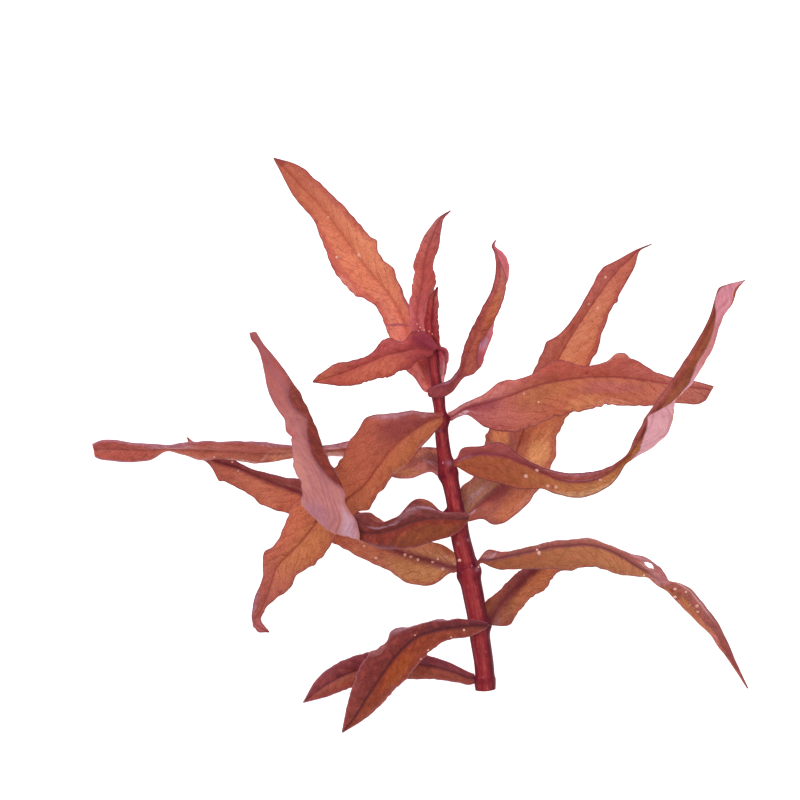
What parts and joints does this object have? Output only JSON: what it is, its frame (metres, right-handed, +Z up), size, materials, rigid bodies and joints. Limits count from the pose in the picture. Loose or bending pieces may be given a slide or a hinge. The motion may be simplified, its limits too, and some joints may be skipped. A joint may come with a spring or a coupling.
{
  "type": "aquarium plant stem",
  "caption": "Cut stem of a red aquarium plant lying on a surface, with long wavy leaves in opposite pairs, one of them folded back to show its pink underside.",
  "frame": {"origin": "on the surface the plant lies on, under the centre of its box", "axes": "+Y along the stem towards its growing tip, +X to the right of the stem seen from above, +Z up"},
  "size_m": [0.1317, 0.1155, 0.0215],
  "materials": {
    "stem_skin": null,
    "young_leaf": null,
    "folded_leaf": null,
    "old_leaf": null,
    "shaded_leaf": null
  },
  "bodies": {
    "root": {"stem": "stem_skin", "leaf_1_front": "young_leaf", "leaf_1_back": "young_leaf", "leaf_2_left": "young_leaf", "leaf_2_right": "young_leaf", "leaf_3_left": "young_leaf", "leaf_3_right": "shaded_leaf", "leaf_4_left": "old_leaf", "leaf_4_right": "young_leaf", "leaf_5_left": "young_leaf", "leaf_5_right": "shaded_leaf", "leaf_6_left": "folded_leaf", "leaf_6_right": "old_leaf", "leaf_7_left": "old_leaf", "leaf_7_right": "old_leaf", "leaf_8_left": "shaded_leaf", "leaf_8_right": "old_leaf", "leaf_9_left": "shaded_leaf"}
  },
  "joints": []
}
